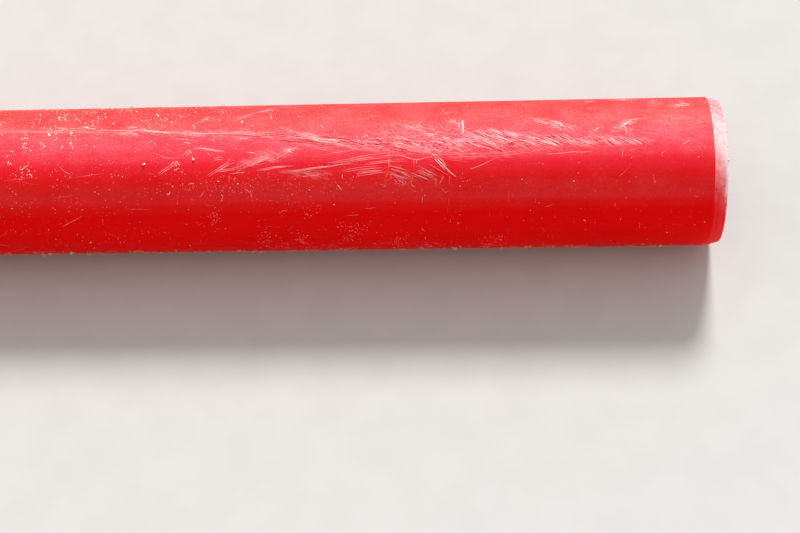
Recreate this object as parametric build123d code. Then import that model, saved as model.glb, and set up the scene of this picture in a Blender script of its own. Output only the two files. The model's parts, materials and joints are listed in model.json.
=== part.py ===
from build123d import *
import math
import os

# Smooth plastic drain pipe: one plain length, bevelled at one end so that it
# slides into the socket of the next pipe, and sawn square at the other.
# It lies on its side along X on the plane Z = 0, with the bevelled end at +X,
# and the origin is under the middle of its length. Sizes are in millimetres.

# Driving dimensions
outside_diameter = 110.0
wall_thickness = 3.2
stock_length = 1000.0
bevel_angle = 15.0  # between the bevel and the side of the pipe, in degrees
lip_thickness = 0.7  # the wall that the bevel leaves at its tip

# Radii, from the bore outwards
outside_radius = outside_diameter / 2
bore_radius = outside_radius - wall_thickness
lip_radius = bore_radius + lip_thickness

# Stations along the pipe
sawn_end = -stock_length / 2
bevelled_end = stock_length / 2
bevel_length = (outside_radius - lip_radius) / math.tan(math.radians(bevel_angle))
bevel_start = bevelled_end - bevel_length


def wall_section():
    """The wall on one side of the pipe's axis, as (station, radius) corners."""
    outline = Polyline(
        (sawn_end, bore_radius),
        (bevelled_end, bore_radius),
        (bevelled_end, lip_radius),
        (bevel_start, outside_radius),
        (sawn_end, outside_radius),
        close=True,
    )
    return make_face(outline)


def drain_pipe():
    """The wall turned about the pipe's axis, then set down on its side."""
    turned = revolve(wall_section(), axis=Axis.X)
    return Pos(0, 0, outside_radius) * turned


os.makedirs("parts", exist_ok=True)
export_step(drain_pipe(), "parts/pipe.step")
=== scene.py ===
import bpy
import json
import math
import random
from mathutils import Matrix, Vector, noise


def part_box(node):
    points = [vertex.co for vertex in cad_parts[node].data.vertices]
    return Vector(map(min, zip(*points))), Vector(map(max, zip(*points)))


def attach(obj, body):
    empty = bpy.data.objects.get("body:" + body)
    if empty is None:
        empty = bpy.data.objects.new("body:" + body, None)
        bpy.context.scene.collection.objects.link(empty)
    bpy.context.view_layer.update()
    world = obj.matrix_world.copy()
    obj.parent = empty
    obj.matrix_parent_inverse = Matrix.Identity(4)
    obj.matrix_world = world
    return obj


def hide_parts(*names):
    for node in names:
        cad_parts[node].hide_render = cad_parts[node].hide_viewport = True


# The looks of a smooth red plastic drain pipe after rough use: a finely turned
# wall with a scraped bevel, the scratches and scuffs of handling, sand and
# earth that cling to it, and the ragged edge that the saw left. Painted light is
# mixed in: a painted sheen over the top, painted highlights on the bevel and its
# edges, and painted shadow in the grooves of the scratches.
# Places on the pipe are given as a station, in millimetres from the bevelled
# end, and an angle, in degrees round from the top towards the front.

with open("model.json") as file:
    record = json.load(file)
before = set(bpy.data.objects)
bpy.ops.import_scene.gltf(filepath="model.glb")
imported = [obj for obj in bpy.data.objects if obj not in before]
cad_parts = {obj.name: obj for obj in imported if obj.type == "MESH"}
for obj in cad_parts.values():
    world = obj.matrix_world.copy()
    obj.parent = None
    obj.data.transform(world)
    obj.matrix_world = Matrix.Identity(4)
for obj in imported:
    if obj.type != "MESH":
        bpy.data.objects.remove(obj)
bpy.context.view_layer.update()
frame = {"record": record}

MM = 0.001
BEVEL_ANGLE = 15

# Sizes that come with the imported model
mounts = {mount["name"]: mount for mount in frame["record"]["mounts"]}
low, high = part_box("pipe")
LENGTH = (high.x - low.x) / MM
OUTER = mounts["spigot"]["dims"]["r_mm"]
BORE = mounts["bore"]["dims"]["r_mm"]
BEVEL = LENGTH - mounts["spigot"]["dims"]["length_mm"]
BEVEL_SLOPE = math.tan(math.radians(BEVEL_ANGLE))
AXIS_HEIGHT = OUTER

# How finely the wall is divided, and how far its edges stray
SIDES = 192
ROWS = 198
BORE_ROWS = 60
ROW_STEP = (LENGTH - BEVEL) / ROWS
COLUMN_STEP = math.tau * OUTER / SIDES
TOOL_RINGS = 11
RING_DEPTH = 0.05
LIP_WAVE = 0.16
LIP_WAVES = 24
EDGE_BREAK = 0.25
BORE_BREAK = 0.15
LIP_BREAK = 0.12
LIP_ROUNDING = 0.02

# How far the camera sees, as a station and as angles
VIEW_REACH = 430
VIEW_ANGLES = (-50, 125)

# What is strewn by chance, and the seeds that it starts from
MARKS_SEED = 41
LONG_SCRATCHES = 620
CURLS = 190
NICKS = 90
DIRT_SEED = 7
GRAINS = 5200
SMEAR_PATCHES = 150
FRONT_GRAINS = 150
SETTLED_GRAINS = 420
CLODS = 3400
BURR_SEED = 19
SHREDS = 200
FRONT_SHREDS = 80


def linear(red, green, blue):
    """A screen colour, 0 to 255, as the shader's linear colour."""
    def one(value):
        value /= 255
        return value / 12.92 if value <= 0.04045 else ((value + 0.055) / 1.055) ** 2.4
    return (one(red), one(green), one(blue), 1)


def profile(pairs, place):
    """Reads a smooth line through (place, value) pairs."""
    for (start, before), (end, after) in zip(pairs, pairs[1:]):
        if start <= place <= end:
            t = (place - start) / (end - start)
            return before + (after - before) * t * t * (3 - 2 * t)
    return 0


def skin_radius(station):
    """The outside radius at a station: less on the bevel."""
    return OUTER - max(0, BEVEL - station) * BEVEL_SLOPE


def around(station, radius, angle):
    """The place at a station and a radius, in metres, at an angle round the axis."""
    turn = math.radians(angle)
    return Vector((
        high.x - station * MM,
        -math.sin(turn) * radius * MM,
        (AXIS_HEIGHT + math.cos(turn) * radius) * MM,
    ))


def on_skin(station, angle, rise=0):
    """The place that lies a rise above the outside of the wall."""
    return around(station, skin_radius(station) + rise, angle)


def pointing(turn):
    """A step of length one in a direction."""
    return Vector((math.cos(turn), math.sin(turn)))


def degrees(arc):
    """The angle that a length round the skin takes up."""
    return math.degrees(arc / OUTER)


def laid_flat(station, angle):
    """A place on the skin in millimetres along and round it, as if it were unrolled."""
    return Vector((station, math.radians(angle) * OUTER))


def new_piece(name, verts, faces, materials, smooth=True):
    """A mesh object that rides with the pipe."""
    mesh = bpy.data.meshes.new(name)
    mesh.from_pydata(verts, [], faces)
    mesh.polygons.foreach_set("use_smooth", [smooth] * len(mesh.polygons))
    for material in materials:
        mesh.materials.append(material)
    piece = bpy.data.objects.new(name, mesh)
    bpy.context.scene.collection.objects.link(piece)
    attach(piece, "root")
    return piece


# Node trees

class Look:
    """A material's node tree, with one short call for each kind of node."""

    def __init__(self, name):
        self.material = bpy.data.materials.new(name)
        self.material.use_nodes = True
        self.tree = self.material.node_tree
        self.shader = self.tree.nodes["Principled BSDF"]

    def node(self, kind, inputs, **settings):
        """Makes a node, fills its inputs, and gives back its outputs."""
        made = self.tree.nodes.new("ShaderNode" + kind)
        for key, value in settings.items():
            setattr(made, key, value)
        for key, value in inputs.items():
            self.put(made.inputs[key], value)
        return made.outputs

    def put(self, socket, value):
        """Links a socket to another, or sets it to a plain value."""
        if isinstance(value, bpy.types.NodeSocket):
            self.tree.links.new(value, socket)
        else:
            socket.default_value = value

    def fold(self, operation, first, *others):
        """Works one kind of sum through several values."""
        for other in others:
            first = self.node("Math", {0: first, 1: other}, operation=operation)[0]
        return first

    def times(self, *values):
        return self.fold("MULTIPLY", *values)

    def plus(self, *values):
        return self.fold("ADD", *values)

    def most(self, *values):
        return self.fold("MAXIMUM", *values)

    def ramp(self, value, start, end, bottom=0, top=1):
        """Runs smoothly from bottom to top while the value runs from start to end."""
        given = dict(enumerate((value, start, end, bottom, top)))
        return self.node("MapRange", given, interpolation_type="SMOOTHSTEP")[0]

    def mix(self, share, a, b):
        """Mixes two colours."""
        return self.node("Mix", {"Factor": share, 6: a, 7: b}, data_type="RGBA", clamp_factor=True)[2]

    def skin_place(self):
        """Metres from the bevelled end, and metres round from the top."""
        return self.node("UVMap", {}, uv_map="Skin")[0]

    def object_place(self):
        """The place in metres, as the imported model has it."""
        return self.node("TexCoord", {})["Object"]

    def stored(self, name):
        """A share that the wall keeps at each of its corners."""
        return self.node("Attribute", {}, attribute_name=name)["Fac"]

    def split(self, vector):
        """The three parts of a vector."""
        return self.node("SeparateXYZ", {"Vector": vector})

    def turned(self, place, slant, along, across, shift=0):
        """The place in a grid that slants from the pipe's length, scaled per metre."""
        grid = self.node("Mapping", {
            "Vector": place,
            "Location": (shift, shift * 0.7, shift * 0.3),
            "Rotation": (0, 0, math.radians(slant)),
        })[0]
        return self.node("Mapping", {"Vector": grid, "Scale": (along, across, 1)})[0]

    def noise(self, place, scale, detail=2, roughness=0.5):
        """Cloudy chance values round a half, so many to the metre."""
        return self.node("TexNoise", {
            "Vector": place, "Scale": scale, "Detail": detail, "Roughness": roughness,
        })[0]

    def cells(self, place, scale):
        """The distance to the nearest of many scattered points, and that point's own chance number."""
        found = self.node("TexVoronoi", {"Vector": place, "Scale": scale})
        return found["Distance"], self.node("SeparateColor", {0: found["Color"]})[0]

    def streaks(self, place, slant, along, across, threshold, shift):
        """Fine scratches that all run one way, so many to the metre along and across."""
        grid = self.turned(place, slant, along, across, shift)
        return self.ramp(self.noise(grid, 1, 3, 0.6), threshold, threshold + 0.08)

    def bump(self, height, depth):
        """Raises the surface by a height times a depth in metres."""
        normal = self.node("Bump", {"Distance": depth, "Height": height})[0]
        self.put(self.shader.inputs["Normal"], normal)

    def finish(self, colour, roughness, specular=0.07):
        """Fills in the shader, and gives back the material."""
        given = {"Base Color": colour, "Roughness": roughness, "Specular IOR Level": specular}
        for name, value in given.items():
            self.put(self.shader.inputs[name], value)
        return self.material


RED = linear(240, 3, 5)
DEEP_RED = linear(231, 1, 2)
INSIDE_RED = linear(212, 6, 7)
CRIMSON_SHEEN = linear(246, 60, 153)
SCUFF_AND_SHEEN = linear(244, 132, 134)
WHITENED = linear(250, 182, 182)
SCRAPED_AND_HIGHLIGHT = linear(252, 228, 229)
EARTH = linear(194, 156, 118)
SETTLED = linear(228, 184, 154)
SAND = linear(236, 220, 192)
DUST = linear(250, 196, 182)

# How far the skin and the bevel are scuffed pale, with a painted sheen and highlight
# over that, going round from the underside by the back, over the top and down the front
SKIN_WEAR_AND_SHEEN = (
    (-104, 0), (-60, 0.14), (-34, 0.55), (2, 0.91), (11, 0.86), (19, 0.57), (28, 0.18), (38, 0.12),
    (45, 0.19), (53, 0.2), (59, 0.06), (67, 0),
)
BEVEL_WEAR_AND_SHEEN = (
    (-180, 0.03), (-110, 0.05), (-55, 0.38), (-28, 0.37), (0, 0.7), (13, 0.74), (29, 0.46), (39, 0.27),
    (52, 0.08), (68, 0.015), (180, 0.03),
)
# The whitened edge of the lip, partly a painted highlight, which shows where the bevel's scuffed paleness
# and painted highlight end
LIP_WHITENING_AND_HIGHLIGHT = ((16, 0), (31, 1), (54, 1.05), (60, 0.35), (66, 0))
LIP_REACH = 2.4


def skin_look():
    """The outside of the wall: satin red, paler above from scuffs and a painted sheen, with a painted
    crimson reflection over the upper front, and earth stained below.
    """
    look = Look("red_plastic_skin")
    place = look.skin_place()
    station, arc, _ = look.split(place)
    patches = look.noise(place, 14, 3)
    drawn_lines = look.noise(look.turned(place, 0, 1.5, 420), 1, 2)
    tint = look.plus(look.times(patches, 0.7), look.times(drawn_lines, 0.3))
    colour = look.mix(look.ramp(tint, 0.3, 0.7), DEEP_RED, RED)

    # Paler pink over the top from scuffs and a painted sheen, rubbed pale where things were dragged over
    # it, and whiter beside the scratches
    wear_and_sheen = look.stored("Worn")
    cloud = look.ramp(look.noise(place, 38, 6, 0.66), 0.3, 0.7, 0.6, 1.16)
    rubbed = look.stored("Rubbed")
    freckles = look.ramp(look.noise(place, 520, 3, 0.7), 0.36, 0.64, 0.8, 1.2)
    along = look.times(look.ramp(station, 0.03, 0.08, 1.02, 0.97), look.ramp(station, 0.3, 0.38, 1, 0.88))
    scuff_and_sheen = look.times(wear_and_sheen, along, cloud, freckles, 0.5)
    colour = look.mix(scuff_and_sheen, colour, SCUFF_AND_SHEEN)
    # A painted crimson reflection tint in a band from the top down the upper front
    sheen_band = look.times(look.ramp(arc, -0.008, 0.01), look.ramp(arc, 0.042, 0.01), 0.1)
    colour = look.mix(sheen_band, colour, CRIMSON_SHEEN)
    hairs = look.most(
        look.streaks(place, 4, 26, 2600, 0.60, 3),
        look.streaks(place, -17, 26, 2200, 0.62, 7),
        look.streaks(place, 38, 26, 1900, 0.66, 11),
    )
    patchy = look.ramp(look.noise(place, 40, 2), 0.42, 0.62)
    fine = look.times(hairs, patchy, look.plus(look.times(wear_and_sheen, 0.16), 0.015))
    mesh = look.most(
        look.streaks(place, 21, 55, 520, 0.51, 5),
        look.times(look.streaks(place, -12, 50, 480, 0.56, 9), 0.85),
        look.times(look.streaks(place, 64, 90, 560, 0.59, 13), 0.75),
        look.times(look.streaks(place, 33, 190, 820, 0.57, 17), 0.8),
        look.times(look.streaks(place, -31, 190, 820, 0.6, 23), 0.7),
    )
    colour = look.mix(look.plus(fine, look.times(rubbed, mesh, 0.78)), colour, WHITENED)

    # Dust specks, dust that settled along the far part, and a film of earth underneath
    distance, chance = look.cells(place, 620)
    size = look.ramp(chance, 0.55, 1, 0, 0.24)
    specks = look.ramp(look.plus(distance, look.times(size, -1)), 0.03, -0.05)
    dusty = look.ramp(look.noise(place, 60, 2), 0.4, 0.62, 0.15, 1)
    far = look.ramp(station, 0.2, 0.45, 0.4, 1)
    specks = look.times(specks, dusty, far, look.plus(look.times(wear_and_sheen, 0.35), 0.3))
    colour = look.mix(specks, colour, DUST)
    settled = look.times(
        look.ramp(station, 0.28, 0.5), look.ramp(arc, -0.033, -0.046), look.ramp(arc, -0.076, -0.056),
        look.ramp(look.noise(place, 360, 4, 0.7), 0.46, 0.6),
        look.ramp(look.noise(place, 48, 3, 0.6), 0.38, 0.58, 0.25, 1),
    )
    colour = look.mix(settled, colour, SETTLED)
    below = look.fold("ABSOLUTE", arc, 0)
    clinging = look.noise(place, 140, 5, 0.65)
    film = look.times(look.ramp(below, 0.104, 0.14), look.ramp(clinging, 0.46, 0.6))
    colour = look.mix(look.times(film, 0.7), colour, EARTH)

    roughness = look.plus(0.5, look.times(scuff_and_sheen, 0.2), look.times(film, 0.35))
    relief = look.plus(look.times(drawn_lines, 0.25), look.times(hairs, patchy, 0.5), film)
    look.bump(relief, 0.00008)
    return look.finish(colour, roughness, 0.03)


def bevel_look():
    """The bevel: scraped by the cutter, so it is matt, and pale on the upper side, partly from scuffing and
    partly a painted highlight.
    """
    look = Look("red_plastic_bevel")
    place = look.skin_place()
    station, _, _ = look.split(place)
    wear_and_sheen = look.stored("Worn")
    rings = look.noise(look.turned(place, 0, 1500, 9), 1, 3, 0.6)
    blotches = look.noise(place, 260, 4, 0.6)
    middling = look.times(wear_and_sheen, look.plus(1, look.times(wear_and_sheen, -1)), 3.4)
    # Paler towards the top, partly scraped and partly a painted highlight, with the cutter's rings and
    # blotches through it
    share = look.plus(
        wear_and_sheen, look.times(look.plus(rings, -0.5), 0.16), look.times(look.plus(blotches, -0.5), middling),
    )
    # A pale lip edge, partly scraped white and partly a painted highlight, and a thin painted highlight
    # along the inner rim
    lip = look.times(look.ramp(station, 0.0012, 0.0004), look.plus(0.12, look.times(wear_and_sheen, 0.9)))
    rim_highlight = look.times(look.ramp(station, 0.0084, 0.0089), wear_and_sheen, 0.12)
    colour = look.mix(look.most(look.plus(share, rim_highlight), lip), RED, SCRAPED_AND_HIGHLIGHT)
    look.bump(rings, 0.00006)
    return look.finish(colour, 0.6)


def sawn_look():
    """The sawn end faces: pale and rough, with the saw's strokes across them."""
    look = Look("red_plastic_sawn")
    strokes = look.noise(look.object_place(), 900, 4, 0.7)
    colour = look.mix(look.ramp(strokes, 0.35, 0.7, 0.06, 0.5), RED, SCRAPED_AND_HIGHLIGHT)
    look.bump(strokes, 0.00012)
    return look.finish(colour, 0.7)


def bore_look():
    """The inside of the wall, with faint lines along it from the drawing of the pipe."""
    look = Look("red_plastic_bore")
    place = look.skin_place()
    lines = look.noise(look.turned(place, 0, 1.2, 500), 1, 3)
    patches = look.noise(place, 18, 3)
    colour = look.mix(look.ramp(look.times(lines, patches), 0.15, 0.4), INSIDE_RED, RED)
    dust = look.ramp(look.noise(place, 260, 4, 0.6), 0.6, 0.78, 0, 0.25)
    colour = look.mix(dust, colour, SAND)
    look.bump(lines, 0.00005)
    return look.finish(colour, 0.45)


# Scratches, raised a little from the wall, dark strips of painted shadow for their grooves, and the skin
# that they rubbed pale

class Ridges:
    """Slender closed ridges that lie on the wall, gathered into one mesh."""

    def __init__(self, root=-0.03):
        self.root = root
        self.verts = []
        self.faces = []

    def add(self, path, width, rise):
        """Lays a ridge along a path of places laid flat, thinning to both ends."""
        count = len(path)
        first = len(self.verts)
        for i, (spot, side) in enumerate(zip(path, sides(path))):
            thin = max(0.12, math.sin(math.pi * (i + 0.5) / count) ** 0.6)
            for offset, height in ((0.5, self.root), (0, rise * thin), (-0.5, self.root)):
                place = spot + side * (offset * width * thin)
                self.verts.append(on_skin(place.x, degrees(place.y), height))
        self.faces.extend(prism_faces(first, count))


def prism_faces(first, count):
    """The faces of a three-sided tube whose corners follow one another in threes."""
    faces = [(first, first + 2, first + 1)]
    last = first + 3 * (count - 1)
    for base in range(first, last, 3):
        for k, n in ((0, 1), (1, 2), (2, 0)):
            faces.append((base + k, base + n, base + 3 + n, base + 3 + k))
    faces.append((last, last + 1, last + 2))
    return faces


def sides(path):
    """The direction square to a path laid flat, at each of its places."""
    found = []
    for before, after in zip([path[0], *path], [*path[1:], path[-1]]):
        along = after - before
        found.append(Vector((-along.y, along.x)).normalized())
    return found


def smooth_path(points, step=2.5):
    """A smooth line, laid flat, through the given (station, angle) points."""
    flat = [laid_flat(*point) for point in points]
    ends = [flat[0], *flat, flat[-1]]
    line = []
    for a, b, c, d in zip(ends, ends[1:], ends[2:], ends[3:]):
        pieces = max(2, round((c - b).length / step))
        for i in range(pieces):
            t = i / pieces
            bend = (2 * a - 5 * b + 4 * c - d) * t ** 2
            line.append((2 * b + (c - a) * t + bend + (3 * b - a - 3 * c + d) * t ** 3) / 2)
    line.append(flat[-1])
    return line


# Shares of white, pale, faint, groove and gash among the strokes of one mark; the groove and gash tones are
# painted shadow
WHITE = (1, 0, 0, 0, 0)
PALE = (0, 1, 0, 0, 0)
BRIGHT = (0.45, 0.47, 0.08, 0, 0)
MIXED = (0.14, 0.56, 0.3, 0, 0)
DULL = (0.02, 0.36, 0.62, 0, 0)
WOVEN = (0.2, 0.27, 0.05, 0.22, 0.26)
GROOVE_SHADOW = (0, 0, 0, 1, 0)
SHADOW_THREADS = (0, 0, 0, 0.4, 0.6)
GASH_SHADOW = (0, 0, 0, 0, 1)

# How each tone's ridges are rooted, and what they look like: the last two are dark strips of painted shadow
TONES = (
    ("scratches_white", -0.03, linear(255, 222, 218), linear(255, 192, 191)),
    ("scratches_pale", -0.03, linear(255, 168, 170), linear(254, 136, 140)),
    ("scratches_faint", -0.03, linear(252, 106, 111), linear(248, 74, 80)),
    ("scratches_groove", -0.012, linear(164, 16, 24), linear(182, 28, 36)),
    ("scratches_gash", -0.012, linear(132, 0, 6), linear(152, 0, 9)),
)
FIRST_DARK = 3
DARK_RISE = 0.025

STROKE_PLACES = 7
GOLDEN = (math.sqrt(5) - 1) / 2


class Marks:
    """All the scratches, in five tones of which two are painted shadow, and how far the skin round them is
    rubbed pale.
    """

    def __init__(self, seed):
        self.rng = random.Random(seed)
        self.tones = [Ridges(root) for _, root, _, _ in TONES]
        self.rubbed = {}

    def line(self, path, width, shares):
        """Lays one stroke in a tone drawn by chance."""
        rng = self.rng
        tone = rng.choices(range(len(TONES)), shares)[0]
        rise = DARK_RISE if tone >= FIRST_DARK else rng.uniform(0.04, 0.09)
        self.tones[tone].add(path, width * rng.uniform(0.65, 1.25), rise)

    def rub(self, points, reach, strength):
        """Rubs the skin along a path, fading out to a reach in mm."""
        for spot in smooth_path(points):
            row = (spot.x - BEVEL) / ROW_STEP
            column = spot.y / COLUMN_STEP + SIDES / 2
            rows_out = reach / ROW_STEP
            columns_out = reach / COLUMN_STEP
            for i in range(math.ceil(row - rows_out), math.floor(row + rows_out) + 1):
                for j in range(math.ceil(column - columns_out), math.floor(column + columns_out) + 1):
                    away = math.hypot((i - row) * ROW_STEP, (j - column) * COLUMN_STEP) / reach
                    here = strength * max(0, 1 - away ** 2) ** 2
                    self.rubbed[i, j] = max(self.rubbed.get((i, j), 0), here)

    def evenly(self, i, spread):
        """The i-th of a row of offsets that fill a spread without bunching."""
        return spread * ((i * GOLDEN) % 1 - 0.5 + self.rng.gauss(0, 0.05))

    def bundle(self, points, strands, spread, width=0.5, shares=MIXED, shortest=0.4, rub=0):
        """Several scratches made by one pass of something rough, side by side.

        Spread and width are in millimetres."""
        rng = self.rng
        whole = smooth_path(points)
        across = sides(whole)
        for strand in range(strands):
            part = rng.uniform(shortest, 1)
            start = int(rng.uniform(0, 1 - part) * len(whole))
            end = min(max(start + int(part * len(whole)), start + 4), len(whole))
            if end - start < 3:
                continue
            shift = self.evenly(strand, spread)
            drift = rng.gauss(0, spread / 5) / (end - start)
            path = [
                whole[i] + across[i] * (shift + drift * (i - start) + rng.gauss(0, 0.04))
                for i in range(start, end)
            ]
            self.line(path, width, shares)
        if rub:
            self.rub(points, spread * 0.7 + 2.6, rub)

    def stroke(self, points, width, shares, shortest=0.95):
        """One scratch along the points."""
        self.bundle(points, 1, 0.1, width, shares, shortest)

    def curl(self, spot, bend, sizes, steps, width, shares):
        """A small curl that sets out from a spot in a chance direction."""
        rng = self.rng
        heading, turn, size = rng.uniform(0, math.tau), rng.gauss(0, bend), rng.uniform(*sizes)
        path = [spot]
        for step in range(steps):
            path.append(path[-1] + pointing(heading + turn * step / (steps - 1)) * size / steps)
        self.line(path, width, shares)

    def lay(self, *rows):
        """Lays a mark for each row.

        A hatch's row starts with a point. Those of a stroke and a bundle start with a
        list of points, and a stroke's shares come third."""
        for row in rows:
            if isinstance(row[0], tuple):
                self.hatch(*row)
            elif isinstance(row[2], tuple):
                self.stroke(*row)
            else:
                self.bundle(*row)

    def hatch(self, start, end, count, stroke, spread, width=0.5, shares=MIXED, rub=0):
        """Short slanting strokes along a band from start to end.

        A stroke is its run along the pipe, towards the bevelled end, and round it, in mm."""
        rng = self.rng
        first, last = laid_flat(*start), laid_flat(*end)
        square = sides([first, last])[0]
        for stroke_number in range(count):
            middle = first.lerp(last, (stroke_number + rng.random()) / count)
            middle += square * self.evenly(stroke_number, spread)
            size = rng.uniform(0.4, 1.25)
            bend = rng.gauss(0, 0.12)
            lean = rng.gauss(1, 0.13)
            path = []
            for i in range(STROKE_PLACES):
                u = i / (STROKE_PLACES - 1) - 0.5
                path.append(middle + Vector((-stroke[0] * u, stroke[1] * lean * (u + bend * u * u))) * size)
            self.line(path, width, shares)
        if rub:
            self.rub((start, end), spread * 0.6 + 2.8, rub)


def far_streaks(marks):
    """The long streak along the top, from the hidden end to the middle of the view."""
    far = [(590, -6), (530, -5), (505, -5), (486, -6), (470, -5.5), (455, -5), (445, -4.6), (425, -4.6)]
    marks.lay(
        (far, 9, 2.4, 0.42, DULL, 0.15, 0.35),
        ([(560, -6), (500, -5.6), (484, -6), (459, -6.2)], 3, 1.4, 0.5, PALE, 0.3, 0.5),
        ([(502, -4), (470, -3.4), (450, -3.2)], 2, 0.9, 0.45, PALE, 0.5),
        ([(487, -7), (482, -8), (476, -6.4)], 5, 1.8, 0.6, MIXED, 0.5, 0.8),
        ((464, -7.6), (457.5, -6.6), 7, (3.4, 0.6), 1.8, 0.7, MIXED, 0.8),
        ([(456, -5.2), (440, -4.6), (424, -4.2)], 0.7, WHITE),
        ([(453, -6.2), (440, -6), (433, -6)], 0.35, GROOVE_SHADOW),
        ([(462, -3.8), (446, -3.4), (436, -3.3)], 0.35, GROOVE_SHADOW),
        ([(460, -3), (445, -2.6), (436, -2.8)], 0.5, PALE),
        ([(432, -7), (428, -7.4), (423, -6)], 6, 2.6, 0.7, MIXED, 0.5, 1),
        ([(440, -2), (433, -1.4), (426, -1.4)], 6, 2, 0.6, MIXED, 0.5, 1),
        ([(425, -4.6), (415, -3), (402, -1.4), (389, -0.4)], 9, 2.4, 0.55, MIXED, 0.3, 0.6),
        ([(391, -0.4), (384, 0), (377, 0), (366, 0)], 6, 1.8, 0.7, BRIGHT, 0.6, 0.8),
        ([(424, -4.4), (404, -1.6), (384, 0.4), (368, 0.6)], 9, 2.8, 0.32, SHADOW_THREADS, 0.1),
        ([(366, 0), (356, 1), (349, 0), (340, 1), (331, 1.5), (326, 2.3)], 12, 4.4, 0.42, MIXED, 0.4, 0.3),
        ([(364, 0), (352, 1), (340, 1), (324, 3)], 14, 4.4, 0.34, SHADOW_THREADS, 0.1),
        ([(402, -1), (385, -0.2), (366, 0), (350, 0.4), (336, 0.8)], 2, 0.8, 0.75, PALE, 0.9, 0.3),
        ([(352, 4.6), (345, 4.9), (338, 5.5)], 3, 1.6, 0.6, BRIGHT, 0.7, 0.4),
        ([(350, 8.8), (345, 9.4), (340, 10.7)], 2, 0.8, 0.5, DULL, 0.8),
        ([(382, 12.6), (377, 13), (367, 15), (358, 16.6)], 2, 0.8, 0.6, MIXED, 0.8, 0.1),
        ([(344, 16.6), (339, 17.6), (332, 18.3)], 2, 0.7, 0.65, MIXED, 0.8, 0.1),
        ([(338, 15.3), (333, 16.6), (327, 17.2)], 2, 0.5, 0.5, DULL, 0.7),
        ([(355, 14), (349, 14.6), (342, 15)], 2, 0.9, 0.5, DULL, 0.7),
        ([(407, 14.6), (400, 14.6), (397, 16.2), (392, 16.9)], 1, 0.2, 0.55, MIXED, 0.9),
        ([(412, 16.5), (407, 17.8), (404, 20), (399, 20.8), (390, 20.1)], 1, 0.2, 0.55, MIXED, 0.9),
        ([(400, 3), (388, 4), (378, 5.5)], 4, 2.4, 0.45, DULL, 0.4),
        ([(398, 10), (388, 8.5), (383, 8)], 3, 1.6, 0.45, DULL, 0.4),
    )


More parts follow.
